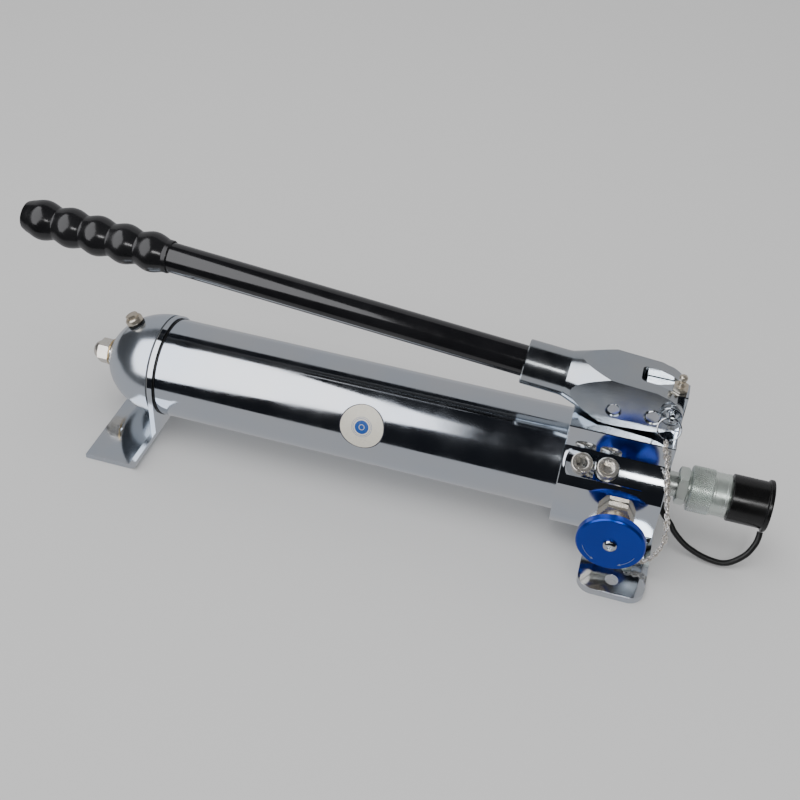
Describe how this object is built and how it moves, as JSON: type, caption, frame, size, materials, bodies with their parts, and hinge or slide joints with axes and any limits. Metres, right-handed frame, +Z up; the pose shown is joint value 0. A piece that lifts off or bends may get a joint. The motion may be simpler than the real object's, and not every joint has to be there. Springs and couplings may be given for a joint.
{
  "type": "hydraulic hand pump",
  "caption": "Single-speed hydraulic hand pump: cylindrical oil reservoir, steel pump block, lever handle, release knob and capped quick coupler.",
  "frame": {"origin": "floor plane under the middle of the base plate, below the reservoir axis", "axes": "+X along the reservoir towards the outlet coupler, +Z up, release knob towards -Y"},
  "size_m": [0.5978, 0.172, 0.1807],
  "materials": {
    "chrome": "polished chrome plate, slightly hazy",
    "satin_steel": "bright satin steel",
    "zinc": "clear zinc plate with a faint green tint",
    "nickel": "warm nickel plate",
    "filter_brass": "sintered brass",
    "black_enamel": "glossy black powder coat",
    "black_plastic": "black moulded plastic",
    "black_rubber": "black rubber",
    "blue_anodised": "blue anodised aluminium",
    "emblem": "cream printed plate with a thin border"
  },
  "bodies": {
    "root": {"pump_block": "chrome", "reservoir_tube": "chrome", "tank_seal": "black_rubber", "foot_gasket_front": "black_rubber", "foot_gasket_rear": "black_rubber", "end_cap": "chrome", "tie_rod": "zinc", "seal_washer": "filter_brass", "acorn_nut": "chrome", "rear_foot": "chrome", "base_plate": "chrome", "base_screw_1": "zinc", "base_screw_2": "zinc", "base_screw_3": "zinc", "base_screw_4": "zinc", "chain_anchor": "zinc", "relief_valve_screw": "chrome", "outlet_valve_screw": "chrome", "relief_spring": "satin_steel", "outlet_spring": "satin_steel", "suction_tube": "zinc", "suction_filter": "filter_brass", "plunger_gland": "nickel", "plunger_seal": "black_rubber", "fulcrum_pin": "chrome", "grease_nipple": "nickel", "valve_gland_nut": "nickel", "valve_seal": "black_rubber", "coupler_body": "zinc", "strap_ring": "black_rubber", "sleeve_snap_ring": "satin_steel", "coupler_seal": "black_rubber", "poppet_spring": "satin_steel", "round_label": "emblem", "pin_chain": "chrome", "cap_strap": "black_rubber"},
    "handle": {"fork_head": "satin_steel", "handle_tube": "black_enamel", "handle_grip": "black_plastic", "plunger_pin": "chrome"},
    "plunger": {"plunger": "chrome"},
    "lock_pin": {"lock_pin": "chrome", "pin_ring": "chrome", "chain_ring": "chrome"},
    "release_valve": {"release_spindle": "satin_steel", "release_knob": "blue_anodised", "knob_screw": "chrome"},
    "release_ball": {"release_ball": "satin_steel"},
    "sleeve": {"coupler_sleeve": "zinc"},
    "cap": {"dust_cap": "black_plastic"},
    "vent": {"vent_plug": "nickel", "vent_seal": "black_rubber"},
    "inlet_ball": {"inlet_ball": "satin_steel"},
    "outlet_ball": {"outlet_ball": "satin_steel"},
    "relief_ball": {"relief_ball": "satin_steel"},
    "poppet": {"coupler_poppet": "satin_steel"}
  },
  "joints": [
    {"name": "handle_swing", "type": "hinge", "parent": "root", "child": "handle", "pos_m": [0.0009, 0, 0.1219], "axis": [0, 1, 0], "range_deg": [0, 40], "deforming": ["pin_chain"]},
    {"name": "plunger_slide", "type": "slide", "parent": "root", "child": "plunger", "axis": [0, 0, 1], "range_m": [0, 0.0184]},
    {"name": "lock_pin_slide", "type": "slide", "parent": "handle", "child": "lock_pin", "axis": [0, -1, 0], "range_m": [0, 0.012], "deforming": ["pin_chain"]},
    {"name": "release_turn", "type": "hinge", "parent": "root", "child": "release_valve", "pos_m": [-0.008, 0, 0.0475], "axis": [0, -1, 0], "range_deg": [0, 270]},
    {"name": "release_ball_lift", "type": "slide", "parent": "root", "child": "release_ball", "axis": [0, -1, 0], "range_m": [0, 0.00025]},
    {"name": "sleeve_spin", "type": "hinge", "parent": "root", "child": "sleeve", "pos_m": [0.055, 0, 0.0475], "axis": [1, 0, 0], "continuous": true},
    {"name": "cap_pull", "type": "slide", "parent": "root", "child": "cap", "axis": [1, 0, 0], "range_m": [0, 0.03], "deforming": ["cap_strap"]},
    {"name": "vent_turn", "type": "hinge", "parent": "root", "child": "vent", "pos_m": [-0.41075, 0, 0.0835], "axis": [-0.4506, 0, 0.8927], "range_deg": [0, 360]},
    {"name": "inlet_ball_lift", "type": "slide", "parent": "root", "child": "inlet_ball", "axis": [1, 0, 0], "range_m": [0, 0.0015]},
    {"name": "outlet_ball_lift", "type": "slide", "parent": "root", "child": "outlet_ball", "axis": [0, -0.5, 0.866], "range_m": [0, 0.0012], "stiffness_N_per_m": 300, "springref_m": -0.002, "deforming": ["outlet_spring"]},
    {"name": "relief_ball_lift", "type": "slide", "parent": "root", "child": "relief_ball", "axis": [0, -0.5, 0.866], "range_m": [0, 0.0012], "stiffness_N_per_m": 600, "springref_m": -0.002, "deforming": ["relief_spring"]},
    {"name": "poppet_press", "type": "slide", "parent": "root", "child": "poppet", "axis": [-1, 0, 0], "range_m": [0, 0.004], "stiffness_N_per_m": 400, "springref_m": -0.002, "deforming": ["poppet_spring"]}
  ],
  "couplings": [
    {"joint": "plunger_slide", "follows": "handle_swing", "m_per_rad": 0.02621},
    {"joint": "release_ball_lift", "follows": "release_turn", "m_per_rad": 0.00005305}
  ]
}
